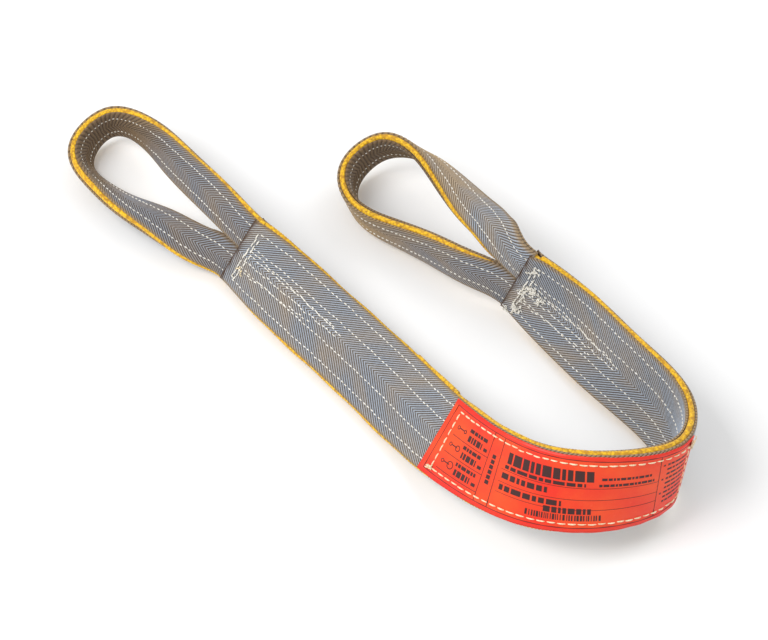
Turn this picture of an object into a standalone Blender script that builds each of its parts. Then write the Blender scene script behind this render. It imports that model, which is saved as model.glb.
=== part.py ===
"""Flat web lifting sling with reversed eyes, resting on its edges on a floor.

One endless load web, 35 mm wide, runs side by side with itself along the body and
leaves each end as two legs that twist and meet in an eye. Wear pads cover the body
and the eyes on both faces. A label is sewn across the bend of the body.
Metres, +Z up, origin under the middle of the sling, X along its longer side.
"""

import math

import bmesh
import bpy
import numpy as np

MM = 0.001

# Layers across the thickness, and the room between two pieces that touch
WEB_THICKNESS = 5.5
PAD_THICKNESS = 2.2
LABEL_THICKNESS = 0.6
GAP = 0.3

# Widths across the sling
WEB_WIDTH = 35.0
RUN_CENTRE = 17.9
BODY_PAD_WIDTH = 69.0
EYE_PAD_WIDTH = 33.4
LABEL_WIDTH = 66.0

# Sewing
THREAD_RADIUS = 0.45
THREAD_LIFT = 1.0
BODY_SEAM_ROWS = (26.0, 11.0, -11.0, -26.0)
EYE_SEAM_ROWS = (9.0, -9.0)
SPLICE_SEAM_REACH = 29.0
SPLICE_SEAM_SHARES = (0.3, 0.6)
LABEL_SEAM_INSET = 5.0

# The rows on the inside of each eye leave its bearing face clear between these stations
EYE_BEARING = (21, 24)

# The body is cut into stations, and the label covers those round its bend
BODY_STATIONS = 40
LABEL_FIRST = 14
LABEL_LAST = 27
EYE_STATIONS = 44

# Columns across the width of a narrow strip and of a strip as wide as the body
NARROW_COLUMNS = 2
WIDE_COLUMNS = 4

# Points read on the spline for each row of a route
SPLINE_SAMPLES = 40

# The legs leave the splice straight over this stretch
LEG_START = (0.0, 9.0)

# Room on each side of the line that an eye hinges on
HINGE_ROOM = 6.0

# The routes' heights are raised by this, so that the lowest pad edge meets the floor
ROUTE_LIFT = 4.8

# Route of the body's centre line, from the left splice to the right one:
# x, y and height in mm, then the lean of its width from upright in degrees
BODY_ROUTE = (
    (-108, 67, 30, -32),
    (-64, 23, 19, -58),
    (-21, -23, 14, -67),
    (20, -72, 15, -64),
    (57, -123, 24, -52),
    (94, -171, 41, -42),
    (143, -208, 55, -34),
    (206, -213, 57, -22),
    (257, -182, 45, -1),
    (257, -123, 32, 21),
    (220, -71, 31, 30),
    (183, -20, 28, 34),
    (139, 24, 39, 14),
)

# Routes of the web's centre line round each eye, from the upper leg to the lower
# one, without the two ends, which are where the splice puts them
LEFT_EYE_ROUTE = (
    (-128, 104, 50, 42),
    (-154, 140, 45, 40),
    (-178, 176, 38, 29),
    (-204, 211, 32, 9),
    (-242, 230, 27, -5),
    (-267, 200, 16, 20),
    (-247, 161, 14, 41),
    (-217, 132, 17, 62),
    (-183, 107, 19, 88),
    (-149, 84, 18, 122),
)
RIGHT_EYE_ROUTE = (
    (121, 58, 60, 50),
    (101, 96, 50, 86),
    (79, 134, 46, 115),
    (53, 170, 45, 140),
    (17, 190, 36, 168),
    (-14, 167, 20, 194),
    (-5, 126, 16, 198),
    (27, 97, 20, 190),
    (63, 71, 25, 178),
    (98, 45, 28, 169),
)

WEB_FACE = WEB_THICKNESS / 2
PAD_MIDDLE = WEB_FACE + GAP + PAD_THICKNESS / 2
PAD_FACE = PAD_MIDDLE + PAD_THICKNESS / 2
LABEL_MIDDLE = PAD_FACE + GAP + LABEL_THICKNESS / 2
LABEL_FACE = LABEL_MIDDLE + LABEL_THICKNESS / 2

UP = np.array((0.0, 0.0, 1.0))


def clear_scene():
    for thing in list(bpy.data.objects):
        bpy.data.objects.remove(thing, do_unlink=True)


def spline_through(knots, values, wanted):
    """Natural cubic spline through values at knots, read at the wanted places."""
    count = len(knots)
    gaps = np.diff(knots)
    matrix = np.eye(count)
    right = np.zeros((count, values.shape[1]))
    for i in range(1, count - 1):
        matrix[i, i - 1:i + 2] = (gaps[i - 1], 2 * (gaps[i - 1] + gaps[i]), gaps[i])
        right[i] = 6 * ((values[i + 1] - values[i]) / gaps[i] - (values[i] - values[i - 1]) / gaps[i - 1])
    bend = np.linalg.solve(matrix, right)
    span = np.clip(np.searchsorted(knots, wanted) - 1, 0, count - 2)
    gap = gaps[span][:, None]
    before = (knots[span + 1] - wanted)[:, None]
    after = (wanted - knots[span])[:, None]
    return (
        (bend[span] * before**3 + bend[span + 1] * after**3) / (6 * gap)
        + (values[span] / gap - bend[span] * gap / 6) * before
        + (values[span + 1] / gap - bend[span + 1] * gap / 6) * after
    )


def unit(vectors):
    return vectors / np.linalg.norm(vectors, axis=-1, keepdims=True)


def upright_frame(along):
    """The direction nearest to up across each tangent, and the one beside it."""
    upright = unit(UP - along * (along @ UP)[..., None])
    return upright, np.cross(along, upright)


def lean_of(along, across):
    upright, beside = upright_frame(along)
    return math.degrees(math.atan2(across @ beside, across @ upright))


class Route:
    """Evenly spaced stations along a smooth strip: centre, width and face directions."""

    def __init__(self, rows, stations, trim):
        rows = np.array(rows, float)
        steps = np.linalg.norm(np.diff(rows[:, :3], axis=0), axis=1)
        knots = np.concatenate(([0.0], np.cumsum(steps)))
        fine = np.linspace(0, knots[-1], SPLINE_SAMPLES * len(rows))
        smooth = spline_through(knots, rows, fine)
        walked = np.concatenate(([0.0], np.cumsum(np.linalg.norm(np.diff(smooth[:, :3], axis=0), axis=1))))
        self.length = walked[-1]
        places = np.linspace(trim, self.length - trim, stations + 1)
        self.step = places[1] - places[0]
        whole = np.stack([np.interp(places, walked, column) for column in smooth.T], axis=1)
        slopes = np.gradient(smooth[:, :3], walked, axis=0)
        along = unit(np.stack([np.interp(places, walked, column) for column in slopes.T], axis=1))
        upright, beside = upright_frame(along)
        lean = np.radians(whole[:, 3])[:, None]
        self.points = whole[:, :3]
        self.along = along
        self.across = np.cos(lean) * upright + np.sin(lean) * beside
        self.faces = np.cross(self.along, self.across)

    def place(self, station, across, out):
        """The point in metres at a station, so far across the width and out of the face."""
        low = min(int(station), len(self.points) - 2)
        share = station - low
        ends = [self.points[i] + across * self.across[i] + out * self.faces[i] for i in (low, low + 1)]
        return ((1 - share) * ends[0] + share * ends[1] + ROUTE_LIFT * UP) * MM


def splice_end(body, station, outward):
    """Where the body ends: its centre and width direction, and the way out to the eye."""
    sign = 1 if outward == "right" else -1
    along = sign * body.along[station]
    centre = body.points[station] + along * HINGE_ROOM
    return centre, body.across[station], along


def eye_rows(body, station, outward, route):
    """The eye's whole route: the upper leg's start, the free points and the lower leg's end."""
    centre, across, along = splice_end(body, station, outward)
    start_lean = lean_of(along, across)
    end_lean = lean_of(-along, -across)
    end_lean += 360 * round((route[-1][3] - end_lean) / 360)
    upper = [(*(centre + across * RUN_CENTRE + along * out), start_lean) for out in LEG_START]
    lower = [(*(centre - across * RUN_CENTRE + along * out), end_lean) for out in LEG_START]
    return (*upper, *route, *reversed(lower))


def make_material(name, colour, roughness):
    material = bpy.data.materials.new(name)
    material.use_nodes = True
    shader = material.node_tree.nodes["Principled BSDF"]
    shader.inputs["Base Color"].default_value = (*colour, 1.0)
    shader.inputs["Roughness"].default_value = roughness
    shader.inputs["Metallic"].default_value = 0.0
    return material


def add_object(name, data, material):
    thing = bpy.data.objects.new(name, data)
    data.materials.append(material)
    sling.objects.link(thing)


def add_strip(name, route, stations, width, centre, out, thickness, columns, material):
    """A flat strip, cut square and given its thickness, then laid along the route."""
    first, last = stations
    strip = bmesh.new()
    bmesh.ops.create_grid(strip, x_segments=last - first, y_segments=columns, size=0.5)
    bmesh.ops.triangulate(strip, faces=strip.faces, quad_method="FIXED")
    bmesh.ops.solidify(strip, geom=strip.faces, thickness=1.0)
    middle = sum(vertex.co.z for vertex in strip.verts) / len(strip.verts)
    for vertex in strip.verts:
        station = first + (vertex.co.x + 0.5) * (last - first)
        outward = out + (vertex.co.z - middle) * thickness
        vertex.co = route.place(round(station, 3), centre + vertex.co.y * width, outward)
    mesh = bpy.data.meshes.new(name)
    strip.to_mesh(mesh)
    strip.free()
    add_object(name, mesh, material)


def add_thread(name, route, marks, out, closed=False):
    """A row of sewing thread through (station, across) marks."""
    curve = bpy.data.curves.new(name, "CURVE")
    curve.dimensions = "3D"
    curve.bevel_depth = THREAD_RADIUS * MM
    curve.bevel_resolution = 0
    curve.use_fill_caps = not closed
    row = curve.splines.new("POLY")
    row.points.add(len(marks) - 1)
    for point, (station, across) in zip(row.points, marks):
        point.co = (*route.place(station, across, out), 1.0)
    row.use_cyclic_u = closed
    add_object(name, curve, thread_white)


def seam_marks(first, last, across):
    return [(station, across) for station in range(first, last + 1)]


clear_scene()
sling = bpy.data.collections.new("web_sling")
bpy.context.scene.collection.children.link(sling)

web_yellow = make_material("yellow_nylon_web", (0.83, 0.50, 0.03), 0.75)
pad_grey = make_material("grey_herringbone_pad", (0.25, 0.28, 0.33), 0.85)
label_red = make_material("red_label_film", (0.86, 0.09, 0.03), 0.45)
thread_white = make_material("white_thread", (0.85, 0.82, 0.74), 0.6)

body = Route(BODY_ROUTE, BODY_STATIONS, HINGE_ROOM)
whole_body = (0, BODY_STATIONS)
seam_out = PAD_FACE + THREAD_LIFT + THREAD_RADIUS

# Load web inside the body: two runs, edge to edge
for run, side in (("upper", 1), ("lower", -1)):
    add_strip(f"load_web_{run}_run", body, whole_body, WEB_WIDTH, side * RUN_CENTRE, 0.0,
              WEB_THICKNESS, NARROW_COLUMNS, web_yellow)

# Wear pads over both faces of the body
for face, side in (("front", 1), ("back", -1)):
    add_strip(f"body_pad_{face}", body, whole_body, BODY_PAD_WIDTH, 0.0, side * PAD_MIDDLE,
              PAD_THICKNESS, WIDE_COLUMNS, pad_grey)

# Label across the bend, and the closed row that sews it down
add_strip("label", body, (LABEL_FIRST, LABEL_LAST), LABEL_WIDTH, 0.0, LABEL_MIDDLE,
          LABEL_THICKNESS, WIDE_COLUMNS, label_red)
label_row = LABEL_WIDTH / 2 - LABEL_SEAM_INSET
label_inset = LABEL_SEAM_INSET / body.step
label_top = [(LABEL_FIRST + label_inset, label_row)]
label_top += seam_marks(LABEL_FIRST + 1, LABEL_LAST - 1, label_row)
label_top += [(LABEL_LAST - label_inset, label_row)]
label_bottom = [(station, -across) for station, across in reversed(label_top)]
add_thread("label_seam", body, label_top + label_bottom, LABEL_FACE + THREAD_LIFT + THREAD_RADIUS,
           closed=True)

# Long sewing rows of the body. The front rows go under the label, so each is in two
# parts, and the back rows are whole.
for number, across in enumerate(BODY_SEAM_ROWS, start=1):
    add_thread(f"front_seam_left_{number}", body, seam_marks(1, LABEL_FIRST - 1, across), seam_out)
    add_thread(f"front_seam_right_{number}", body,
               seam_marks(LABEL_LAST + 1, BODY_STATIONS - 1, across), seam_out)
    add_thread(f"back_seam_{number}", body, seam_marks(1, BODY_STATIONS - 1, across), -seam_out)

# Cross rows that close the splices: out across the width, one step along, and back
for side, end, inward in (("left", 0, 1), ("right", BODY_STATIONS, -1)):
    cross_rows = [end + inward * share for share in SPLICE_SEAM_SHARES]
    reach = (SPLICE_SEAM_REACH, 0, -SPLICE_SEAM_REACH)
    marks = [(cross_rows[0], across) for across in reach]
    marks += [(cross_rows[1], across) for across in reversed(reach)]
    for face, facing in (("front", 1), ("back", -1)):
        add_thread(f"{side}_splice_seam_{face}", body, marks, facing * seam_out)

# Eyes: the load web goes on from the body's two runs, between an inner and an outer
# pad. The body's front face turns to the inside of both eyes.
for side, end, route_rows, inner in (
    ("left", 0, LEFT_EYE_ROUTE, -1),
    ("right", BODY_STATIONS, RIGHT_EYE_ROUTE, 1),
):
    eye = Route(eye_rows(body, end, side, route_rows), EYE_STATIONS, HINGE_ROOM)
    whole_eye = (0, EYE_STATIONS)
    add_strip(f"{side}_eye_web", eye, whole_eye, WEB_WIDTH, 0.0, 0.0,
              WEB_THICKNESS, NARROW_COLUMNS, web_yellow)
    for face, facing in (("inner", inner), ("outer", -inner)):
        add_strip(f"{side}_eye_pad_{face}", eye, whole_eye, EYE_PAD_WIDTH, 0.0,
                  facing * PAD_MIDDLE, PAD_THICKNESS, NARROW_COLUMNS, pad_grey)
    for number, across in enumerate(EYE_SEAM_ROWS, start=1):
        add_thread(f"{side}_eye_seam_outer_{number}", eye,
                   seam_marks(1, EYE_STATIONS - 1, across), -inner * seam_out)
        add_thread(f"{side}_eye_seam_inner_upper_{number}", eye,
                   seam_marks(1, EYE_BEARING[0], across), inner * seam_out)
        add_thread(f"{side}_eye_seam_inner_lower_{number}", eye,
                   seam_marks(EYE_BEARING[1], EYE_STATIONS - 1, across), inner * seam_out)
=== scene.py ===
# %% [markdown]
# # A reversed-eye web sling
# The sling lies bent in a U on a floor. One endless yellow web runs through it, and
# grey herringbone pads cover it on both faces. Everything is a flat strip laid along
# a route, so this lesson makes one good strip tool and uses it for every layer.

# %% Load the fixed frame
import math

import bmesh
import bpy
import numpy as np
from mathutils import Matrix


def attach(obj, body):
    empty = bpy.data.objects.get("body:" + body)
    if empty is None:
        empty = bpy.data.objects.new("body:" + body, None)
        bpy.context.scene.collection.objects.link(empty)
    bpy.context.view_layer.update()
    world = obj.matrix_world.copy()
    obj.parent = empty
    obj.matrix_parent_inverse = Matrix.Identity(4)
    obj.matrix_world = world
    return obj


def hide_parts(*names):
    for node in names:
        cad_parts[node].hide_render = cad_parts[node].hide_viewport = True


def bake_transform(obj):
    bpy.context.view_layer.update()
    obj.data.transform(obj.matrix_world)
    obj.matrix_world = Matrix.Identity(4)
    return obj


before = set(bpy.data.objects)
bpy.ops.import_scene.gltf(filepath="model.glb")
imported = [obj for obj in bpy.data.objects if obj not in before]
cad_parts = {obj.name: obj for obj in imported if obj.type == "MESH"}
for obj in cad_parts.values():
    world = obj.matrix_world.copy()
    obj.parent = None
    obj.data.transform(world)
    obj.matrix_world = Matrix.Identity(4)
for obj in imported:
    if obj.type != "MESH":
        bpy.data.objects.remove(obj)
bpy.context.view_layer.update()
bpy.ops.object.select_all(action="DESELECT")

# %% [markdown]
# ## Sizes
# All sizes are in millimetres, as a sling maker would write them on a job card.
# The layers are, from the middle outwards: web, pad, label. Thread lies on the pads.

# %% Sizes of the layers
MM = 0.001
WEB_THICKNESS = 5.5
PAD_THICKNESS = 2.2
LAYER_GAP = 0.3
WEB_WIDTH = 35.0
RUN_CENTRE = 18.1
BODY_PAD_WIDTH = 69.0
EYE_PAD_WIDTH = 33.4
LABEL_WIDTH = 68.0
LABEL_THICKNESS = 0.5
PAD_MIDDLE = WEB_THICKNESS / 2 + LAYER_GAP + PAD_THICKNESS / 2
PAD_FACE = PAD_MIDDLE + PAD_THICKNESS / 2
SPLICE_OVERLAP = 5.0
WALE = 3.6
print("sling is", round(2 * PAD_FACE, 1), "mm thick")

# %% [markdown]
# ## The route
# Free webbing has no formula, so its route is a short list given here: x, y, height,
# and how far the width leans from upright, in degrees. A natural cubic spline makes it
# smooth. Each eye starts and ends at the splice, where its two legs lie side by side.

# %% Routes of the body and the two eyes
# How far the whole route is raised, so that its lowest edge rests on the floor
ROUTE_LIFT = 4.8
# At the splice each leg starts this far to one side, and runs straight out to this distance
LEG_SIDE = 17.9
LEG_START = (0.0, 9.0)
BODY_ROUTE = (
    (-108, 67, 30, -32),
    (-64, 23, 19, -58),
    (-21, -23, 14, -67),
    (20, -72, 15, -64),
    (57, -123, 24, -52),
    (94, -171, 41, -42),
    (143, -208, 55, -34),
    (206, -213, 57, -22),
    (257, -182, 45, -1),
    (257, -123, 32, 21),
    (220, -71, 31, 30),
    (183, -20, 28, 34),
    (139, 24, 39, 14),
)
LEFT_EYE_ROUTE = (
    (-128, 104, 50, 42),
    (-154, 140, 45, 40),
    (-178, 176, 38, 29),
    (-204, 211, 32, 9),
    (-242, 230, 27, -5),
    (-267, 200, 16, 20),
    (-247, 161, 14, 41),
    (-217, 132, 17, 62),
    (-183, 107, 19, 88),
    (-149, 84, 18, 122),
)
RIGHT_EYE_ROUTE = (
    (121, 58, 60, 50),
    (101, 96, 50, 86),
    (79, 134, 46, 115),
    (53, 170, 45, 140),
    (17, 190, 36, 168),
    (-14, 167, 20, 194),
    (-5, 126, 16, 198),
    (27, 97, 20, 190),
    (63, 71, 25, 178),
    (98, 45, 28, 169),
)
print(len(BODY_ROUTE), "body points,", len(LEFT_EYE_ROUTE), "and", len(RIGHT_EYE_ROUTE), "eye points")

# %% [markdown]
# ## A smooth route
# A curve object could carry the strip, but its twist is hard to control point by point.
# Here a small spline solver gives the centre line and the lean together, and a Route
# then answers three questions at any distance: where, along which way, facing which way.


# %% Spline and route
def spline_through(knots, values, wanted):
    """Natural cubic spline through values at knots, read at the wanted places."""
    count = len(knots)
    gaps = np.diff(knots)
    matrix = np.eye(count)
    right = np.zeros((count, values.shape[1]))
    for i in range(1, count - 1):
        matrix[i, i - 1:i + 2] = (gaps[i - 1], 2 * (gaps[i - 1] + gaps[i]), gaps[i])
        slope_after = (values[i + 1] - values[i]) / gaps[i]
        slope_before = (values[i] - values[i - 1]) / gaps[i - 1]
        right[i] = 6 * (slope_after - slope_before)
    bend = np.linalg.solve(matrix, right)
    span = np.clip(np.searchsorted(knots, wanted) - 1, 0, count - 2)
    gap = gaps[span][:, None]
    before = (knots[span + 1] - wanted)[:, None]
    after = (wanted - knots[span])[:, None]
    return (
        (bend[span] * before**3 + bend[span + 1] * after**3) / (6 * gap)
        + (values[span] / gap - bend[span] * gap / 6) * before
        + (values[span + 1] / gap - bend[span + 1] * gap / 6) * after
    )


def distances(points):
    """Distance walked from the first point to each point of a path."""
    steps = np.linalg.norm(np.diff(points, axis=0), axis=1)
    return np.concatenate(([0.0], np.cumsum(steps)))


def unit(vectors):
    return vectors / np.linalg.norm(vectors, axis=-1, keepdims=True)


def upright_frame(along):
    """The direction nearest to up across each tangent, and the one beside it."""
    upright = unit(np.array((0.0, 0.0, 1.0)) - along * along[..., 2:3])
    return upright, np.cross(along, upright)


def lean_of(along, across):
    upright, beside = upright_frame(along)
    return math.degrees(math.atan2(across @ beside, across @ upright))


STEPS_PER_POINT = 100


class Route:
    """A smooth strip's centre, width and face directions, by distance along it in mm."""

    def __init__(self, rows):
        rows = np.array(rows, float)
        knots = distances(rows[:, :3])
        smooth = spline_through(knots, rows, np.linspace(0, knots[-1], STEPS_PER_POINT * len(rows)))
        walked = distances(smooth[:, :3])
        along = unit(np.gradient(smooth[:, :3], walked, axis=0))
        upright, beside = upright_frame(along)
        lean = np.radians(smooth[:, 3])[:, None]
        self.length = walked[-1]
        self.walked = walked
        self.centre = smooth[:, :3] + np.array((0.0, 0.0, ROUTE_LIFT))
        self.along = along
        self.across = np.cos(lean) * upright + np.sin(lean) * beside
        self.faces = np.cross(along, self.across)

    def read(self, what, s):
        table = getattr(self, what)
        return np.stack([np.interp(s, self.walked, column) for column in table.T], axis=-1)

    def place(self, s, across, out):
        """Points in metres at distance s, so far across the width and out of the face."""
        s = np.asarray(s, float)
        beyond = s - np.clip(s, 0.0, self.length)
        points = self.read("centre", s) + beyond[..., None] * self.read("along", s)
        points = points + np.asarray(across)[..., None] * self.read("across", s)
        return (points + np.asarray(out)[..., None] * self.read("faces", s)) * MM


# %% The three routes
def eye_rows(body, end, sign, rows):
    """The eye's whole route: upper leg's start, free points, lower leg's end."""
    across, along = body.read("across", end), sign * body.read("along", end)
    centre = body.read("centre", end) - np.array((0.0, 0.0, ROUTE_LIFT))
    start_lean, end_lean = lean_of(along, across), lean_of(-along, -across)
    end_lean += 360 * round((rows[-1][3] - end_lean) / 360)
    upper = [(*(centre + across * LEG_SIDE + along * out), start_lean) for out in LEG_START]
    lower = [(*(centre - across * LEG_SIDE + along * out), end_lean) for out in LEG_START]
    return (*upper, *rows, *reversed(lower))


body = Route(BODY_ROUTE)
left_eye = Route(eye_rows(body, 0.0, -1, LEFT_EYE_ROUTE))
right_eye = Route(eye_rows(body, body.length, 1, RIGHT_EYE_ROUTE))
print("body", round(body.length), "mm, eyes", round(left_eye.length), round(right_eye.length), "mm")

# %% [markdown]
# ## Camera
# The camera looks down at about 50 degrees with a long lens, as in a catalogue. A long
# lens keeps the near and far ends of the sling close to the same size.

# %% Camera
VIEW_ELEVATION = math.radians(50.6)
VIEW_DISTANCE = 1.868
VIEW_TARGET = (0.0182, 0.0101, 0.0048)
camera_data = bpy.data.cameras.new("catalogue_camera")
camera_data.lens = 98.3
camera = bpy.data.objects.new("catalogue_camera", camera_data)
camera.location = (
    VIEW_TARGET[0],
    VIEW_TARGET[1] - VIEW_DISTANCE * math.cos(VIEW_ELEVATION),
    VIEW_TARGET[2] + VIEW_DISTANCE * math.sin(VIEW_ELEVATION),
)
camera.rotation_euler = (math.pi / 2 - VIEW_ELEVATION, 0.0, 0.0)
bpy.context.scene.collection.objects.link(camera)
bpy.context.scene.camera = camera
bpy.context.scene.view_settings.view_transform = "Standard"
print("camera at", [round(value, 3) for value in camera.location], "m, lens", camera_data.lens, "mm")

# %% [markdown]
# ## Colours and nodes
# A hex colour is coded for screens, and shaders want plain amounts of light, so one
# function turns it to linear. Another adds a node with its settings and links, which
# keeps each finish readable from top to bottom.


# %% One way to add a node
def linear(code):
    """An sRGB hex colour as linear red, green, blue and alpha."""
    parts = [int(code[i:i + 2], 16) / 255 for i in (1, 3, 5)]
    return (*((c / 12.92 if c <= 0.04045 else ((c + 0.055) / 1.055) ** 2.4) for c in parts), 1.0)


def add_node(tree, kind, settings=None, **inputs):
    """Adds a node with its settings. An input is a value or another node's output."""
    node = tree.nodes.new(kind)
    for name, value in (settings or {}).items():
        setattr(node, name, value)
    for name, value in inputs.items():
        socket = node.inputs[int(name[1:])] if name[1:].isdigit() else node.inputs[name.replace("_", " ")]
        if isinstance(value, bpy.types.NodeSocket):
            tree.links.new(value, socket)
        else:
            socket.default_value = value
    return node


def new_finish(name, roughness, sheen=0.0):
    """A material with a Principled shader, its node tree and the shader."""
    material = bpy.data.materials.new(name)
    material.use_nodes = True
    shader = material.node_tree.nodes["Principled BSDF"]
    shader.inputs["Roughness"].default_value = roughness
    shader.inputs["Sheen Weight"].default_value = sheen
    return material, material.node_tree, shader


print("mid grey #808080 is", round(linear("#808080")[0], 3), "in linear light")

# %% [markdown]
# ## Floor and lights
# A matt floor takes a soft shadow and gives back some light to the undersides. The even
# white world does most of the lighting, and two area lights add a gentle direction.

# %% Floor and lights
floor_finish, _, floor_shader = new_finish("matt_white_paper_floor", 0.9)
floor_shader.inputs["Base Color"].default_value = linear("#F4F4F4")
floor_shader.inputs["Specular IOR Level"].default_value = 0.1
bpy.ops.mesh.primitive_plane_add(size=12.0, location=(0.0, 0.0, 0.0))
floor = bpy.context.object
floor.name = "floor"
floor.data.materials.append(floor_finish)
world = bpy.data.worlds.new("studio")
world.use_nodes = True
world.node_tree.nodes["Background"].inputs["Color"].default_value = linear("#FFFFFF")
world.node_tree.nodes["Background"].inputs["Strength"].default_value = 0.74
bpy.context.scene.world = world
for light_name, place, energy, size in (
    ("soft_light_left", (-1.1, -0.4, 1.5), 22.0, 1.0),
    ("soft_light_right", (1.3, 0.7, 1.7), 9.0, 1.2),
):
    light_data = bpy.data.lights.new(light_name, "AREA")
    light_data.energy = energy
    light_data.size = size
    light = bpy.data.objects.new(light_name, light_data)
    light.location = place
    light.rotation_euler = light.location.to_track_quat("Z", "Y").to_euler()
    bpy.context.scene.collection.objects.link(light)
    print(light_name, energy, "W,", size, "m wide")

# %% [markdown]
# ## Finishes
# The pads are nylon in a herringbone twill. Each raised rib, a wale, is blue-grey with a
# tan line in the dip beside it, and the dip is also painted darker as shade. The UV map called
# weave holds, in metres, how far a point is along the twill and across the strip, so the
# pattern is just a wave of its first value. A second UV map, for age and shade, holds how
# tanned and how burnt the cloth is, and the painted shade on the eyes' inner faces.


# %% Herringbone nylon, woven
# Yarns cross each wale about this often
YARN = 1.1


def herringbone_finish(name, rib, dip, worn):
    material, tree, shader = new_finish(name, 0.85, 0.15)
    weave = add_node(tree, "ShaderNodeUVMap", {"uv_map": "weave"}).outputs["UV"]
    age = add_node(tree, "ShaderNodeUVMap", {"uv_map": "age"}).outputs["UV"]
    axes = add_node(tree, "ShaderNodeSeparateXYZ", _0=weave).outputs
    ages_and_shade = add_node(tree, "ShaderNodeSeparateXYZ", _0=age).outputs
    turns = 2 * math.pi / (WALE * MM)
    angle = add_node(tree, "ShaderNodeMath", {"operation": "MULTIPLY"}, _0=axes["X"], _1=turns)
    wave = add_node(tree, "ShaderNodeMath", {"operation": "SINE"}, _0=angle.outputs[0])
    across = add_node(tree, "ShaderNodeMath", {"operation": "MULTIPLY"}, _0=axes["Y"],
                      _1=2 * math.pi / (YARN * MM))
    slanted = add_node(tree, "ShaderNodeMath", {"operation": "ADD"}, _0=across.outputs[0],
                       _1=angle.outputs[0])
    yarn = add_node(tree, "ShaderNodeMath", {"operation": "SINE"}, _0=slanted.outputs[0])
    stripe = add_node(tree, "ShaderNodeMapRange", {"interpolation_type": "SMOOTHSTEP"},
                      Value=wave.outputs[0], From_Min=-0.55, From_Max=0.15)
    mottle = add_node(tree, "ShaderNodeTexNoise", Vector=weave, Scale=900.0, Detail=2.0)
    cloud = add_node(tree, "ShaderNodeTexNoise", Vector=weave, Scale=28.0, Detail=3.0)
    thread = add_node(tree, "ShaderNodeMix", {"data_type": "RGBA"}, _0=stripe.outputs[0],
                      _6=linear(dip), _7=linear(rib))
    tan = add_node(tree, "ShaderNodeMath", {"operation": "MULTIPLY_ADD"}, _0=cloud.outputs[0],
                   _1=1.5, _2=-0.62)
    tans = add_node(tree, "ShaderNodeMath", {"operation": "ADD", "use_clamp": True},
                    _0=tan.outputs[0], _1=ages_and_shade["X"])
    tanned = add_node(tree, "ShaderNodeMix", {"data_type": "RGBA"},
                      _0=tans.outputs[0], _6=thread.outputs[2], _7=linear(worn))
    # Painted shade: the dip of each wale is darkened to about a third, on the same wave as the ribs' bump;
    # the speckle is random tone
    groove_shade = add_node(tree, "ShaderNodeMapRange", Value=wave.outputs[0], From_Min=-1.0, From_Max=0.1,
                      To_Min=0.36, To_Max=1.0)
    speckle = add_node(tree, "ShaderNodeMapRange", Value=mottle.outputs[0], From_Min=0.3, From_Max=0.7,
                       To_Min=0.78, To_Max=1.15)
    groove_shade_and_speckle = add_node(tree, "ShaderNodeMath", {"operation": "MULTIPLY"}, _0=groove_shade.outputs[0],
                    _1=speckle.outputs[0])
    toned = add_node(tree, "ShaderNodeMix", {"data_type": "RGBA", "blend_type": "MULTIPLY"}, _0=1.0,
                     _6=tanned.outputs[2], _7=groove_shade_and_speckle.outputs[0])
    # Browned by the second age value: burnt cut ends and rims, a darker lower leg, and painted shade on the
    # eyes' inner faces
    browned = add_node(tree, "ShaderNodeMix", {"data_type": "RGBA"}, _0=ages_and_shade["Y"],
                     _6=toned.outputs[2], _7=linear("#43290F"))
    tree.links.new(browned.outputs[2], shader.inputs["Base Color"])
    height = add_node(tree, "ShaderNodeMath", {"operation": "MULTIPLY_ADD"}, _0=yarn.outputs[0], _1=0.35,
                      _2=wave.outputs[0])
    rough_height = add_node(tree, "ShaderNodeMath", {"operation": "ADD"}, _0=height.outputs[0],
                            _1=mottle.outputs[0])
    bump = add_node(tree, "ShaderNodeBump", Strength=0.55, Distance=0.0004, Height=rough_height.outputs[0])
    tree.links.new(bump.outputs[0], shader.inputs["Normal"])
    return material


pad_finish = herringbone_finish("nylon_herringbone_woven", "#A1AAB7", "#7F705E", "#BDA27B")
print(pad_finish.name, len(pad_finish.node_tree.nodes), "nodes, a wale every", WALE, "mm")

# %% [markdown]
# The web's edge is knitted, so it is a row of small loops, with a painted highlight on
# their crowns and painted shade between them. A smooth Voronoi texture at 400 cells to
# the metre gives rounded cells of 2.5 mm.


# %% Yellow nylon, knitted edge
def yellow_finish():
    material, tree, shader = new_finish("nylon_web_yellow_woven", 0.7, 0.2)
    weave = add_node(tree, "ShaderNodeUVMap", {"uv_map": "weave"}).outputs["UV"]
    loops = add_node(tree, "ShaderNodeTexVoronoi", {"feature": "SMOOTH_F1"}, Vector=weave, Scale=400.0,
                     Smoothness=0.3)
    cloud = add_node(tree, "ShaderNodeTexNoise", Vector=weave, Scale=60.0, Detail=3.0)
    # Painted highlight on each loop's crown and painted shade between the loops, by distance from the cell's
    # middle
    near = add_node(tree, "ShaderNodeMapRange", Value=loops.outputs["Distance"], From_Min=0.22, From_Max=0.8)
    loop_highlight_and_shade = add_node(tree, "ShaderNodeMix", {"data_type": "RGBA"}, _0=near.outputs[0],
                     _6=linear("#FBCB16"), _7=linear("#AC7A08"))
    patches = add_node(tree, "ShaderNodeMapRange", Value=cloud.outputs[0], From_Min=0.35, From_Max=0.7)
    patch_share = add_node(tree, "ShaderNodeMath", {"operation": "MULTIPLY"}, _0=patches.outputs[0], _1=0.45)
    worn = add_node(tree, "ShaderNodeMix", {"data_type": "RGBA"}, _0=patch_share.outputs[0],
                    _6=loop_highlight_and_shade.outputs[2], _7=linear("#F0B010"))
    tree.links.new(worn.outputs[2], shader.inputs["Base Color"])
    bump = add_node(tree, "ShaderNodeBump", {"invert": True}, Strength=0.9, Distance=0.0009,
                    Height=loops.outputs["Distance"])
    tree.links.new(bump.outputs[0], shader.inputs["Normal"])
    return material


web_finish = yellow_finish()
print(web_finish.name, len(web_finish.node_tree.nodes), "nodes")

# %% [markdown]
# Bonded thread is coated so that its plies stay together. It has a slight shine, and its
# plies show only as a change of shade along each stitch.


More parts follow.
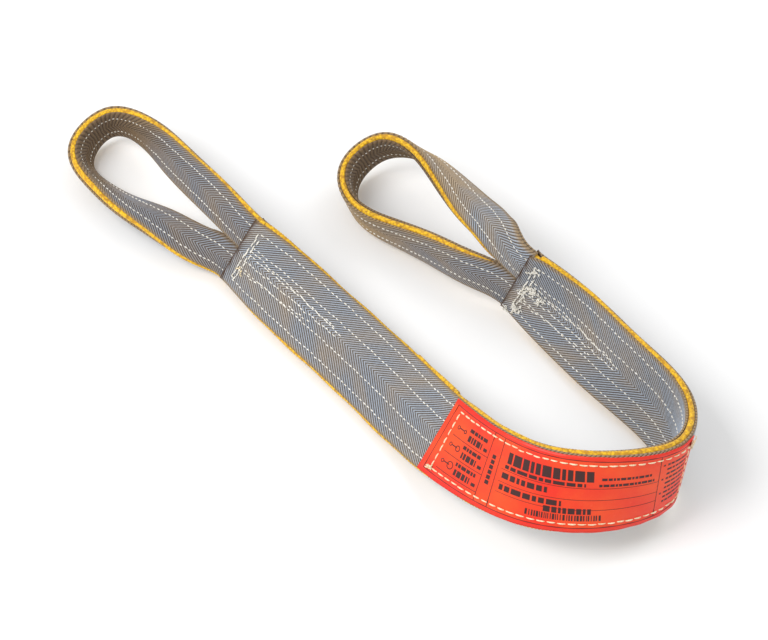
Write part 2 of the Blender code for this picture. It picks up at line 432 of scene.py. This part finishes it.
# %% Sewing thread, bonded nylon
def thread_finish(name, light, shade):
    material, tree, shader = new_finish(name, 0.55, 0.1)
    spot = add_node(tree, "ShaderNodeTexCoord").outputs["Object"]
    ply = add_node(tree, "ShaderNodeTexNoise", Vector=spot, Scale=700.0, Detail=2.0)
    share = add_node(tree, "ShaderNodeMapRange", Value=ply.outputs[0], From_Min=0.35, From_Max=0.65)
    mix = add_node(tree, "ShaderNodeMix", {"data_type": "RGBA"}, _0=share.outputs[0],
                   _6=linear(shade), _7=linear(light))
    tree.links.new(mix.outputs[2], shader.inputs["Base Color"])
    bump = add_node(tree, "ShaderNodeBump", Strength=0.4, Distance=0.0002, Height=ply.outputs[0])
    tree.links.new(bump.outputs[0], shader.inputs["Normal"])
    return material


white_thread = thread_finish("nylon_thread_white_bonded", "#F7F5EF", "#D9D2C2")
cream_thread = thread_finish("nylon_thread_cream_bonded", "#F8EBCB", "#E2C99A")
print(white_thread.name, "and", cream_thread.name)

# %% [markdown]
# ## Pieces and bodies
# The sling is split into three bodies: the sewn body and the two eyes. A piece of the sewn
# body simply rides on it. A piece of an eye starts inside the splice; it rides on no body
# and is left in place with its transform baked in.

# %% A new piece
# Points of a merged strip that lie closer than this, in metres, become one
MERGE_DISTANCE = 2e-6


def new_piece(name, points, faces, finish, body_name, replaced=(), maps=None, smooth=True,
              merged=False):
    """Makes an object, hands it to join_body, and hides the solids it stands for."""
    mesh = bpy.data.meshes.new(name)
    mesh.from_pydata([tuple(point) for point in points], [], [tuple(face) for face in faces])
    for map_name, values in (maps or {}).items():
        layer = mesh.uv_layers.new(name=map_name)
        corners = np.empty(len(mesh.loops), np.int32)
        mesh.loops.foreach_get("vertex_index", corners)
        layer.data.foreach_set("uv", np.asarray(values, np.float32)[corners].ravel())
    if merged:
        strip = bmesh.new()
        strip.from_mesh(mesh)
        bmesh.ops.remove_doubles(strip, verts=strip.verts, dist=MERGE_DISTANCE)
        strip.to_mesh(mesh)
        strip.free()
    mesh.materials.append(finish)
    if smooth:
        mesh.shade_smooth()
    piece = bpy.data.objects.new(name, mesh)
    bpy.context.scene.collection.objects.link(piece)
    if replaced:
        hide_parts(*replaced)
    join_body(piece, body_name)
    return piece


def join_body(piece, body_name):
    """Body pieces ride on the sewn body; eye pieces are baked in place and ride on no body."""
    if body_name == "sling_body":
        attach(piece, body_name)
        return
    end, sign = (0.0, -1) if body_name == "left_eye" else (body.length, 1)
    splice = body.place(end, 0.0, 0.0)
    away = sign * body.read("along", end) * MM
    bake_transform(piece)


# %% [markdown]
# ## One strip tool
# A real strip is cut flat and then bent, and this tool does the same. It takes the
# outline of the strip's section and repeats it row by row along the route. Every section
# is listed anticlockwise, with across to the right and out upwards, and that makes the
# faces point outwards. A round section made the same way gives a stitch.


# %% Faces of a strip
def ring_faces(rows, around):
    """Quads between rows of a closed section, and the two end caps."""
    row, spot = np.meshgrid(np.arange(rows - 1), np.arange(around), indexing="ij")
    here, beside = row * around + spot, row * around + (spot + 1) % around
    quads = np.stack([beside, beside + around, here + around, here], axis=-1).reshape(-1, 4)
    first_cap = list(range(around - 1, -1, -1))
    return [*quads.tolist(), first_cap, list(range(around * (rows - 1), around * rows))]


def no_shift(s):
    """For a strip that needs no sideways shift and no hem."""
    return 0.0 * s


print("a box of 2 rows has", len(ring_faces(2, 4)), "faces")

# %% [markdown]
# ## The pad tool
# On a pad the rows are slanted like the twill, with a V at the middle, so each wale is a
# true ridge in the mesh. Rows that run past a square-cut end are clipped there, and the
# points that fall together are merged.

# %% Pad tool
SLANT = 1.5
ROWS_PER_WALE = 6
RIB_HEIGHT = 0.3
EDGE_ROUNDING = 0.5
EDGE_REACH = 1.5
LOW_POINTS = 5
# The body pads' ends stand off the web by this much, and settle on it over this distance
END_LIFT = 1.9
END_REACH = 14.0
# A rolled hem starts this far from the middle, and drops and spreads over this distance
HEM_START = 12.0
HEM_REACH = 4.5
HEM_DROP = 2.7
HEM_SPREAD = 1.3


def pad_section(width, columns):
    """Section of a pad: across, out, and the share of the ribs' relief at each point."""
    top = np.linspace(width / 2, -width / 2, columns)
    edge = np.clip((width / 2 - np.abs(top)) / EDGE_REACH, 0.0, 1.0)
    top_out = PAD_THICKNESS / 2 - EDGE_ROUNDING * (1 - edge) ** 2
    low = np.linspace(-width / 2, width / 2, LOW_POINTS)
    across = np.concatenate((top, low))
    out = np.concatenate((top_out, np.full(LOW_POINTS, -PAD_THICKNESS / 2)))
    relief = np.concatenate((edge, np.zeros(LOW_POINTS)))
    return across, out, relief


def lay_pad(name, route, span, width, columns, facing, slant, ages_and_shade, body_name, replaced,
            hem=no_shift, end_lift=0.0):
    """A pad on one face of the web, with ribs in relief on its outer side."""
    across, out, relief = pad_section(width, columns)
    shift = SLANT * width / 2
    phases = np.arange(span[0] - shift, span[1] + shift, WALE / ROWS_PER_WALE)
    lean = slant(np.clip(phases, *span))[:, None] * SLANT * np.abs(across)[None, :]
    raw = phases[:, None] + lean
    s = np.clip(raw, *span)
    inside = (raw > span[0]) & (raw < span[1])
    rib = RIB_HEIGHT * np.sin(2 * np.pi * phases[:, None] / WALE) * relief[None, :] * inside
    lift = end_lift * np.clip(1 - np.minimum(s - span[0], span[1] - s) / END_REACH, 0, 1) ** 2
    side = facing * np.broadcast_to(across, s.shape)
    # Where hem isn't 0 the pad's edge on that side is rolled over the web's edge
    rolled = np.clip(hem(s) * np.sign(side), 0, 1)
    rolled = rolled * np.clip((np.abs(side) - HEM_START) / HEM_REACH, 0, 1)
    outward = facing * (PAD_MIDDLE + out[None, :] + rib + lift - HEM_DROP * rolled**2)
    side = side + HEM_SPREAD * rolled * np.sign(side)
    points = route.place(s, side, outward).reshape(-1, 3)
    twill = np.broadcast_to(phases[:, None], s.shape)
    weave = np.stack((twill, side), axis=-1).reshape(-1, 2) * MM
    age = np.stack(ages_and_shade(s, side), axis=-1).reshape(-1, 2)
    faces = ring_faces(len(phases), len(across))
    return new_piece(name, points, faces, pad_finish, body_name, replaced,
                     {"weave": weave, "age": age}, merged=True)


print("a 25-column pad section has", len(pad_section(BODY_PAD_WIDTH, 25)[0]), "points")


# %% [markdown]
# ## The yellow load web
# Only its edges show. They are thick knitted selvedges, so the section is a flat bar
# with round ends, and the round ends swell a little at each loop of the knit.

# %% Web tool
LOOP = 2.7
ROWS_PER_LOOP = 5
LOOP_SWELL = 0.8
LOOP_GIRTH = 1.6


def lay_web(name, route, span, width, centre, body_name, replaced, shift=no_shift):
    """A web with knitted edges, its middle this far to one side of the route."""
    half, radius = width / 2 - WEB_THICKNESS / 2, WEB_THICKNESS / 2
    turn = np.radians((-75, -45, -15, 15, 45, 75))
    right = np.stack((half + radius * np.cos(turn), radius * np.sin(turn)), axis=1)
    section = np.concatenate((right, -right))
    spots = np.arange(len(section))[None, :]
    # Neighbouring spots round the section swell in turn, so that the loops look staggered
    s = np.arange(span[0], span[1], LOOP / ROWS_PER_LOOP)
    swell = LOOP_SWELL * np.abs(np.sin(np.pi * s[:, None] / LOOP + 0.5 * np.pi * spots))
    sign = np.sign(section[:, 0])
    ragged = 0.3 * np.sin(s / 9.0) + 0.25 * np.sin(s / 23.0 + 1.0)
    across = centre + section[None, :, 0] + swell * sign * np.cos(np.concatenate((turn, turn)))
    across = across + (ragged + shift(s))[:, None]
    out = section[None, :, 1] * (1 + 0.03 * swell)
    along = np.broadcast_to(s[:, None], across.shape)
    points = route.place(along, across, out).reshape(-1, 3)
    girth = np.broadcast_to(spots * LOOP_GIRTH, across.shape)
    weave = np.stack((along, girth), axis=-1).reshape(-1, 2) * MM
    faces = ring_faces(len(s), len(section))
    return new_piece(name, points, faces, web_finish, body_name, replaced, {"weave": weave})


SHIFT_REACH = 70.0


def leg_shift(length, upper, lower=1.8):
    """The legs' webs lie a little to one side where they enter the splice."""
    def shift(s):
        from_upper, from_lower = s / SHIFT_REACH, (length - s) / SHIFT_REACH
        return upper * np.clip(1 - from_upper, 0, 1) + lower * np.clip(1 - from_lower, 0, 1)
    return shift


print("loops every", LOOP, "mm, swelling", LOOP_SWELL, "mm")

# %% [markdown]
# One endless web makes two runs through the body, side by side, and a leg round each
# eye. Its two ends overlap in the upper run, and the edge of that lap shows as a short
# doubled stretch beside the label.

# %% Load web
LAP_SPAN = (196.0, 262.0)
LAP_WIDTH = 12.0
LAP_PAST_EDGE = 1.4
inner_span = (SPLICE_OVERLAP, body.length - SPLICE_OVERLAP)
for run, side in (("upper", 1), ("lower", -1)):
    lay_web(f"web_{run}_run", body, inner_span, WEB_WIDTH, side * RUN_CENTRE, "sling_body",
                        [f"load_web_{run}_run"])
for side, eye, upper in (("left", left_eye, 0.4), ("right", right_eye, -1.9)):
    eye_span = (-SPLICE_OVERLAP, eye.length + SPLICE_OVERLAP)
    lay_web(f"web_{side}_eye", eye, eye_span, WEB_WIDTH, 0.0, f"{side}_eye",
                        [f"{side}_eye_web"], leg_shift(eye.length, upper))
lap_centre = RUN_CENTRE + WEB_WIDTH / 2 + LAP_PAST_EDGE - LAP_WIDTH / 2
lap = lay_web("web_lap_end", body, LAP_SPAN, LAP_WIDTH, lap_centre, "sling_body", [])

# %% [markdown]
# ## The wear pads
# The twill makes one V across each pad. On the eyes the V opens towards the splice on
# both legs, so the slant changes sign round the tip. Hooks rub the tips, so they are
# tanned there, and the body pads' cut ends are sealed by heat, which burns them brown.
# The eyes' inner faces get painted shade along the legs, most at the tip.

# %% Slant, age, painted shade and hems of the pads
def body_slant(s):
    return np.ones_like(s)


def eye_slant(length):
    """The V turns over within 45 mm of the tip."""
    def slant(s):
        return np.clip((s - length / 2) / 45.0, -1.0, 1.0)
    return slant


# The body pads run this far past the splice line
PAD_PAST_SPLICE = 2.5


def body_ages(s, side):
    """How tanned and how burnt: the long rims are a little tanned, the cut ends burnt."""
    end = np.minimum(s + PAD_PAST_SPLICE, body.length + PAD_PAST_SPLICE - s)
    rim = np.clip((np.abs(side) - BODY_PAD_WIDTH / 2 + 1.2) / 1.2, 0, 1)
    return 0.9 * rim, np.clip(np.clip(1.7 - end / 1.3, 0, 1) + 0.35 * rim, 0, 1)


def eye_ages_and_shade(length, reach, leg_shade, tip_shade, lower_darkening):
    """Tanned within this share of the length from the tip, and darker by the amounts given: painted shade
    along the legs and more at the tip, and a darker lower leg.
    """
    def ages_and_shade(s, side):
        rim = np.clip((np.abs(side) - EYE_PAD_WIDTH / 2 + 1.0) / 1.0, 0, 1)
        near_tip = np.clip(1.45 - np.abs(s - length / 2) / (reach * length), 0, 1)
        # Painted shade along the legs and more at the tip, and the lower leg darker still
        darkening = leg_shade + (tip_shade - leg_shade) * near_tip
        darkening = darkening + lower_darkening * np.clip((s - length * 0.45) / 40.0, 0, 1)
        return np.maximum(near_tip, rim), np.maximum(darkening, 0.4 * rim)
    return ages_and_shade


def eye_hem(length, upper):
    """Near the splice the pads are sewn together over one edge of the web."""
    def hem(s):
        return upper * np.clip(1.6 - s / 55.0, 0, 1) - np.clip(1.5 - (length - s) / 40.0, 0, 1)
    return hem


print("the body pads are burnt", [round(float(body_ages(s, 0.0)[1]), 2) for s in (-2.5, 0.0, 2.5)],
      "at three places near the cut end")

# %% Pads
BODY_COLUMNS, EYE_COLUMNS = 25, 15
# How much darker each eye face is along the legs, at the tip, and more along the lower leg: on the inner
# faces it is painted shade
INNER_PAINTED_SHADE, OUTER_DARKENING = (0.32, 0.72, 0.0), (0.0, 0.05, 0.2)
body_span = (-PAD_PAST_SPLICE, body.length + PAD_PAST_SPLICE)
for face, facing in (("front", 1), ("back", -1)):
    pad = lay_pad(f"pad_body_{face}", body, body_span, BODY_PAD_WIDTH, BODY_COLUMNS, facing, body_slant,
                  body_ages, "sling_body", [f"body_pad_{face}"], end_lift=END_LIFT)
for side, eye, inner, reach in (("left", left_eye, -1, 0.16), ("right", right_eye, 1, 0.26)):
    for face, facing, darkening in (("inner", inner, INNER_PAINTED_SHADE), ("outer", -inner, OUTER_DARKENING)):
        pad = lay_pad(f"pad_{side}_eye_{face}", eye, (0.0, eye.length), EYE_PAD_WIDTH, EYE_COLUMNS, facing,
                      eye_slant(eye.length), eye_ages_and_shade(eye.length, reach, *darkening), f"{side}_eye",
                      [f"{side}_eye_pad_{face}"], eye_hem(eye.length, float(side == "right")))

# %% [markdown]
# ## Stitches
# A lockstitch shows as short dashes. Each dash is a small bead-ended tube that comes up
# out of the cloth and goes back in. There are over a thousand, so each has few faces.

# %% Stitch tool
STITCH_RINGS = np.array((0.0, 0.12, 0.35, 0.65, 0.88, 1.0))
STITCH_SWELL = np.array((0.35, 0.8, 1.0, 1.0, 0.8, 0.35))
STITCH_SINK = np.array((-0.75, -0.2, 0.25, 0.25, -0.2, -0.75))
SIDES = 6
# What a common stitch, the gap from one to the next, and its thread measure
STITCH, PITCH, THREAD_RADIUS = 3.3, 5.1, 0.55
# How deep a hook presses the rows into the cloth, and over what distance that fades
PRESS, PRESS_FADE = 0.55, 12.0


def tubes(points, normals, radii):
    """Closed tubes through (tube, ring, xyz) points, as vertices and faces."""
    along = unit(np.gradient(points, axis=1))
    side = unit(np.cross(along, normals))
    up = np.cross(side, along)
    turn = np.arange(SIDES) * 2 * np.pi / SIDES
    ring = np.cos(turn)[:, None] * side[:, :, None, :] + np.sin(turn)[:, None] * up[:, :, None, :]
    vertices = points[:, :, None, :] + ring * radii[..., None, None]
    count, rings = points.shape[:2]
    one = ring_faces(rings, SIDES)
    faces = [[index + tube * rings * SIDES for index in face[::-1]] for tube in range(count) for face in one]
    return vertices.reshape(-1, 3), faces


def stitch_row(name, route, path, surface, facing, body_name, replaced=(), stitch=STITCH, pitch=PITCH,
               radius=THREAD_RADIUS, finish=white_thread, wobble=0.25, closed=False, buried=0.0):
    """A row of dashes along a path of (distance, across) corners on one face."""
    corners = np.array([*path, path[0]] if closed else path, float)
    reach = distances(corners)
    count = max(1, int((reach[-1] - stitch) / pitch) + 1)
    dice = np.random.default_rng(len(name) * 7 + count)
    if closed:
        starts = np.arange(count) * reach[-1] / count
    else:
        starts = np.arange(count) * (reach[-1] - stitch) / max(1, count - 1)
    lengths = stitch * dice.uniform(0.85, 1.08, count)
    at = starts[:, None] + STITCH_RINGS[None, :] * lengths[:, None]
    at = np.clip(at, 0.0, reach[-1])
    s = np.interp(at, reach, corners[:, 0]) + dice.normal(0.0, 0.8 * wobble, (count, 1))
    across = np.interp(at, reach, corners[:, 1]) + dice.normal(0.0, wobble, (count, 1))
    thickness = radius * dice.uniform(0.85, 1.15, (count, 1))
    from_tip = np.abs(s - route.length / 2)
    press = PRESS * np.clip((buried - from_tip) / PRESS_FADE, 0.0, 1.0) if buried else 0.0
    out = facing * (surface + STITCH_SINK[None, :] * radius + 0.1 - press)
    points = route.place(s, across, out)
    normals = facing * route.read("faces", s)
    vertices, faces = tubes(points, normals, STITCH_SWELL[None, :] * thickness * MM)
    return new_piece(name, vertices, faces, finish, body_name, replaced)


print("a stitch has", len(STITCH_RINGS) * SIDES, "points")

# %% Long rows of the body
BODY_ROWS = (26.0, 11.0, -11.0, -26.0)
ROW_END = 9
LABEL_SPAN = (272.0, 512.0)
UNDER_LABEL = 5
STITCH_SURFACE = PAD_FACE + 0.15
long_rows = (
    ("front_left", "front_seam_left", 1, ROW_END, LABEL_SPAN[0] + UNDER_LABEL),
    ("front_right", "front_seam_right", 1, LABEL_SPAN[1] - UNDER_LABEL, body.length - ROW_END),
    ("back", "back_seam", -1, ROW_END, body.length - ROW_END),
)
for number, row in enumerate(BODY_ROWS, start=1):
    for row_name, node_name, facing, start, end in long_rows:
        stitch_row(f"stitches_{row_name}_{number}", body, ((start, row), (end, row)), STITCH_SURFACE,
                   facing, "sling_body", [f"{node_name}_{number}"])
print(len(BODY_ROWS) * len(long_rows), "rows along the body")

# %% Rows of the eyes
EYE_ROWS = (9.0, -9.0)
# Hooks press the rows into the cloth over this share of the eye on each side of its tip
TIP_SHARE = 0.17
for side, eye, inner in (("left", left_eye, -1), ("right", right_eye, 1)):
    for face, facing in (("inner", inner), ("outer", -inner)):
        for number, row in enumerate(EYE_ROWS, start=1):
            parts = ("inner_upper", "inner_lower") if face == "inner" else ("outer",)
            stitch_row(f"stitches_{side}_eye_{face}_{number}", eye, ((3, row), (eye.length - 3, row)),
                       STITCH_SURFACE, facing, f"{side}_eye",
                       [f"{side}_eye_seam_{part}_{number}" for part in parts],
                       stitch=3.0, pitch=4.7, radius=0.5, buried=TIP_SHARE * eye.length)
print("two rows on each face of each eye, pressed in within", round(TIP_SHARE * left_eye.length),
      "mm of the tip")

# %% [markdown]
# ## The splices
# Where the legs join the body, cross rows are sewn several times over in heavy thread,
# and two more rows run from there into the body. The right splice was sewn last, and its
# loose thread ends still stand up in tufts.

# %% Splice rows
# Each tail runs from 10 mm inside the splice: across at its start, across at its end, reach
TAIL_ROWS = ((7.5, 2.5, 128.0), (3.0, 4.5, 118.0), (-4.0, -1.5, 124.0), (-14.5, -7.0, 96.0))
for side, end, sign in (("left", 0.0, 1), ("right", body.length, -1)):
    for face, facing in (("front", 1), ("back", -1)):
        cross = [(end + sign * 7.0, 25.0), (end + sign * 7.0, -24.0), (end + sign * 10.5, -24.0),
                 (end + sign * 10.5, 20.0)]
        stitch_row(f"stitches_{side}_splice_{face}", body, cross, STITCH_SURFACE + 0.5, facing, "sling_body",
                   [f"{side}_splice_seam_{face}"], stitch=5.3, pitch=5.0, radius=0.7, finish=white_thread,
                   wobble=0.6)
        for number, (near, far, reach) in enumerate(TAIL_ROWS, start=1):
            stitch_row(f"stitches_{side}_tail_{face}_{number}", body,
                       ((end + sign * 10.0, near), (end + sign * reach, far)), STITCH_SURFACE, facing,
                       "sling_body", pitch=4.4, wobble=0.55)
print(2 * 2 * len(TAIL_ROWS), "tail rows")


# %% Tufts of loose thread
TUFT_RINGS = 9


def tuft(name, s, across, surface, facing, hairs, spread, seed, finish):
    """Loose thread ends: short curly tubes that start at one spot."""
    dice = np.random.default_rng(seed)
    steps = dice.normal(0.0, 1.0, (hairs, TUFT_RINGS, 2)).cumsum(axis=1) * spread / 5
    starts = dice.normal(0.0, spread * 0.45, (hairs, 1, 2))
    flat = starts + steps
    arch = 0.9 * np.sin(np.linspace(0, 3.1, TUFT_RINGS))
    height = surface + 0.3 + np.abs(dice.normal(0.0, 0.5, (hairs, 1))) + arch
    points = body.place(s + flat[..., 0], across + flat[..., 1], facing * height)
    normals = facing * body.read("faces", s + flat[..., 0])
    vertices, faces = tubes(points, normals, np.full((hairs, TUFT_RINGS), 0.45 * MM))
    return new_piece(name, vertices, faces, finish, "sling_body")


# Distance in from the right splice, across, number of hairs and spread
RIGHT_TUFTS = (
    (15.0, 3.0, 22, 4.5),
    (9.0, -5.0, 16, 3.5),
    (8.0, 22.0, 12, 3.5),
    (12.0, -24.0, 18, 4.5),
    (3.0, -33.0, 12, 2.5),
    (27.0, -2.0, 10, 4.0),
)
for number, (s, across, hairs, spread) in enumerate(RIGHT_TUFTS, start=1):
    tuft(f"tuft_right_splice_{number}", body.length - s, across, STITCH_SURFACE, -1, hairs, spread, number,
         white_thread)
tuft("tuft_left_splice", 10.0, -14.0, STITCH_SURFACE, 1, 5, 3.0, 11, cream_thread)
print(len(RIGHT_TUFTS) + 1, "tufts at the splices")

# %% [markdown]
# ## The label
# A thin red film label is sewn across the bend. Its print is generic: three drawings of
# ways to hitch a sling, with plain bars in place of words. The print is real geometry, a
# hair above the film, because then it can't blur, and it bends with the label.


# %% Label film
def label_finish():
    material, tree, shader = new_finish("polyester_film_red_printed", 0.42)
    weave = add_node(tree, "ShaderNodeUVMap", {"uv_map": "weave"}).outputs["UV"]
    cloud = add_node(tree, "ShaderNodeTexNoise", Vector=weave, Scale=22.0, Detail=4.0)
    fine = add_node(tree, "ShaderNodeTexNoise", Vector=weave, Scale=380.0, Detail=3.0)
    share = add_node(tree, "ShaderNodeMapRange", Value=cloud.outputs[0], From_Min=0.38, From_Max=0.62)
    red = add_node(tree, "ShaderNodeMix", {"data_type": "RGBA"}, _0=share.outputs[0],
                   _6=linear("#F24A0E"), _7=linear("#EA2A0C"))
    # The ink is redder in a band along each long edge
    across = add_node(tree, "ShaderNodeSeparateXYZ", _0=weave).outputs["Y"]
    edge = add_node(tree, "ShaderNodeMath", {"operation": "ABSOLUTE"}, _0=across)
    band = add_node(tree, "ShaderNodeMapRange", Value=edge.outputs[0], From_Min=0.0293, From_Max=0.0300,
                    To_Max=0.75)
    banded = add_node(tree, "ShaderNodeMix", {"data_type": "RGBA"}, _0=band.outputs[0],
                      _6=red.outputs[2], _7=linear("#E8200F"))
    scuff = add_node(tree, "ShaderNodeMapRange", Value=fine.outputs[0], From_Min=0.62, From_Max=0.8,
                     To_Max=0.35)
    scuffed = add_node(tree, "ShaderNodeMix", {"data_type": "RGBA"}, _0=scuff.outputs[0],
                       _6=banded.outputs[2], _7=linear("#F4623C"))
    tree.links.new(scuffed.outputs[2], shader.inputs["Base Color"])
    bump = add_node(tree, "ShaderNodeBump", Strength=0.25, Distance=0.0005, Height=cloud.outputs[0])
    tree.links.new(bump.outputs[0], shader.inputs["Normal"])
    return material


film_finish = label_finish()
print(film_finish.name, len(film_finish.node_tree.nodes), "nodes")

# %% Label film, laid
# The film lies on the crowns of the ribs and on the rows' ends, so it stands off the pad
LABEL_GAP = 0.75
LABEL_MIDDLE = PAD_FACE + LABEL_GAP + LABEL_THICKNESS / 2
LABEL_TOP = LABEL_MIDDLE + LABEL_THICKNESS / 2
LABEL_COLUMNS = 25
LABEL_STEP = 1.75
# The sewing is this far in from each long edge
SEWING_IN = 7.5


def lay_label(name, span, width):
    """The film: a thin strip whose long edges wave a little where the stitches pull."""
    right_to_left = np.linspace(width / 2, -width / 2, LABEL_COLUMNS)
    across = np.concatenate((right_to_left, -right_to_left))
    top = np.concatenate((np.ones(LABEL_COLUMNS), -np.ones(LABEL_COLUMNS)))
    s = np.arange(span[0], span[1] + 0.1, LABEL_STEP)
    edge = np.abs(across) / (width / 2)
    dip = 0.35 * np.exp(-((np.abs(across) - (width / 2 - SEWING_IN)) / 1.8) ** 2)
    ripple = 0.22 * edge**6 * np.sin(2 * np.pi * s[:, None] / 19.0 + np.sign(across)[None, :])
    out = LABEL_MIDDLE + top * LABEL_THICKNESS / 2 - dip[None, :] + ripple
    side = across[None, :] * (1 + 0.006 * np.sin(s[:, None] / 11.0))
    along = np.broadcast_to(s[:, None], out.shape)
    points = body.place(along, side, out).reshape(-1, 3)
    weave = np.stack((along, side), axis=-1).reshape(-1, 2) * MM
    return new_piece(name, points, ring_faces(len(s), len(across)), film_finish, "sling_body",
                     ["label"], {"weave": weave})


label = lay_label("label_film", LABEL_SPAN, LABEL_WIDTH)
print(label.name, "has", len(label.data.vertices), "points")

# %% [markdown]
# Ink has no thickness to speak of, but each stroke here is a thin closed bar that is sunk
# a little into the film, so its sides never show a gap. A long bar is cut into short
# lengths along the label, because the label bends that way.

# %% Print tools
print_finish, _, print_shader = new_finish("printing_ink_black", 0.5)
print_shader.inputs["Base Color"].default_value = linear("#3A1512")
PRINT_HEIGHT = 0.12
PRINT_SUNK = 0.2
PRINT_STEP = 2.5


def print_shape(outline_s, outline_across):
    """A flat inked stroke on the label, from two edges given as rows of points."""
    rows = len(outline_s)
    s = np.repeat(np.asarray(outline_s, float), 4).reshape(rows, 4) + LABEL_SPAN[0]
    low, high = np.array(outline_across, float).T
    across = np.stack((high, high, low, low), axis=1)
    base, crown = LABEL_TOP - PRINT_SUNK, LABEL_TOP + PRINT_HEIGHT
    out = np.tile((base, crown, crown, base), (rows, 1))
    return body.place(s, across, out).reshape(-1, 3), ring_faces(rows, 4)


def bar(start, end, low, high):
    """A plain bar, cut into short lengths so that it bends with the label."""
    rows = max(2, int((end - start) / PRINT_STEP) + 1)
    return print_shape(np.linspace(start, end, rows), [(low, high)] * rows)


def ring_mark(s, across, radius, line):
    """A small round hook, drawn as two half rings."""
    turn = np.linspace(math.pi, 0.0, 15)
    at, outer = s + radius * np.cos(turn), radius * np.sin(turn)
    inner = np.sqrt(np.clip((radius - line) ** 2 - (at - s) ** 2, 0.0, None))
    return [print_shape(at, np.stack((across + inner - 0.02, across + outer + 0.02), axis=1)),
            print_shape(at, np.stack((across - outer - 0.02, across - inner + 0.02), axis=1))]


def words(start, end, low, high, longest, gap):
    """A line of plain blocks in the place of words."""
    at, made, turn = start, [], int(start * 3 + high * 7)
    while at < end - 1.0:
        turn += 1
        wide = min(longest * (0.55, 1.0, 0.75, 0.4)[turn % 4], end - at)
        made.append(bar(at, at + wide, low, high))
        at += wide + gap
    return made


print("a 40 mm bar is", len(bar(0.0, 40.0, 0.0, 1.0)[1]) // 4, "short lengths")

# %% [markdown]
# The layout follows what such labels usually hold: a border, three hitch drawings, a
# narrow column, a main block with a row of code bars, and a block of short lines.
# Distances run along the label from its left end, and up from its middle.

# %% Print layout
shapes = []
RULE = 0.45
LENGTH = LABEL_SPAN[1] - LABEL_SPAN[0]
EDGE, INNER = LABEL_WIDTH / 2 - 4.0, LABEL_WIDTH / 2 - 11.0
# Border, and the rules between the blocks
for low in (-EDGE, EDGE):
    shapes.append(bar(5.0, LENGTH - 5.0, low - RULE / 2, low + RULE / 2))
DRAWINGS_END, COLUMN_END, MAIN_END = 60.0, 72.0, 204.0
for s in (5.0, DRAWINGS_END, COLUMN_END, MAIN_END, LENGTH - 5.0):
    shapes.append(bar(s, s + RULE, -EDGE, EDGE))
for low in (5.5, -5.0, -14.0):
    shapes.append(bar(COLUMN_END + 4.0, MAIN_END, low, low + RULE / 1.5))
# Three cells of hitch drawings, each with a line for its name and a heavier one for its load
CELL = 2 * INNER / 3
for row in range(3):
    base = -INNER + row * CELL
    shapes.append(bar(16.0, DRAWINGS_END, base - RULE / 2, base + RULE / 2))
    shapes.append(bar(20.0, 27.0, base + CELL * 0.48, base + CELL * 0.54))
    shapes += ring_mark(19.0, base + CELL * 0.5, 1.7, 0.6)
    shapes += ring_mark(28.0, base + CELL * 0.5, (3.4, 2.6, 1.7)[row], 0.7)
    shapes += words(33.0, 55.0, base + CELL * 0.66, base + CELL * 0.86, 5.0, 0.9)
    shapes += words(34.0, 51.0, base + CELL * 0.16, base + CELL * 0.5, 4.4, 1.0)
    shapes.append(bar(53.5, 57.5, base + CELL * 0.18, base + CELL * 0.36))
# Narrow column: blocks up the label
for step in range(6):
    shapes.append(bar(64.6, 68.2, -12.5 + step * 4.4, -9.2 + step * 4.4))
# Main block: a heavy title, a thinner line under it, two lines, a code and a row of code bars
for start, end, low, high, longest, gap in (
    (80.0, 152.0, 11.5, 21.0, 7.4, 1.5),
    (79.0, 146.0, 6.9, 9.9, 9.0, 1.5),
    (78.0, 118.0, -1.6, 3.2, 6.0, 1.6),
    (78.0, 128.0, -11.4, -6.8, 8.0, 1.6),
    (115.0, 152.0, -17.6, -12.6, 5.0, 1.2),
    (158.0, 198.0, 13.0, 15.2, 4.0, 0.9),
    (156.0, 200.0, 7.4, 9.6, 4.4, 0.8),
):
    shapes += words(start, end, low, high, longest, gap)
dice = np.random.default_rng(5)
start, CODE_END = 102.0, 158.0
while start < CODE_END:
    thick = float(dice.choice((0.6, 1.0, 1.6)))
    shapes.append(bar(start, start + thick, -23.5, -18.6))
    start += thick + float(dice.choice((0.7, 0.9, 1.3)))
# Right block: lines that each start with a dot
for line in range(9):
    low = 19.5 - line * 4.8
    if line % 3 == 0:
        shapes.append(bar(207.0, 208.6, low + 0.2, low + 1.8))
    shapes += words(211.0, 231.0, low, low + 1.9, 5.5, 1.0)
print(len(shapes), "printed strokes")

# %% Print, as one piece
vertices, faces, total = [], [], 0
for points, shape_faces in shapes:
    faces += [[index + total for index in face] for face in shape_faces]
    vertices.append(points)
    total += len(points)
new_piece("label_print", np.concatenate(vertices), faces, print_finish, "sling_body",
          smooth=False)
print(total, "points in the print")

# %% Label stitching
ROW_HALF = LABEL_WIDTH / 2 - SEWING_IN
SEWN_SPAN = (LABEL_SPAN[0] + 12.0, LABEL_SPAN[1] - 6.0)
label_path = [(SEWN_SPAN[0], ROW_HALF), (SEWN_SPAN[1], ROW_HALF),
              (SEWN_SPAN[1], -ROW_HALF), (SEWN_SPAN[0], -ROW_HALF)]
stitch_row("stitches_label", body, label_path, LABEL_TOP, 1, "sling_body", ["label_seam"], stitch=6.4,
           pitch=7.5, radius=0.65, finish=cream_thread, wobble=0.2, closed=True)
tuft("tuft_label_corner", LABEL_SPAN[0] + 11.0, -ROW_HALF, LABEL_TOP, 1, 12, 2.6, 21, cream_thread)
tuft("tuft_label_end", LABEL_SPAN[1] - 3.0, ROW_HALF + 1.0, LABEL_TOP, 1, 9, 4.0, 22, cream_thread)
print("label sewn on", round(SEWN_SPAN[1] - SEWN_SPAN[0]), "x", round(2 * ROW_HALF), "mm")
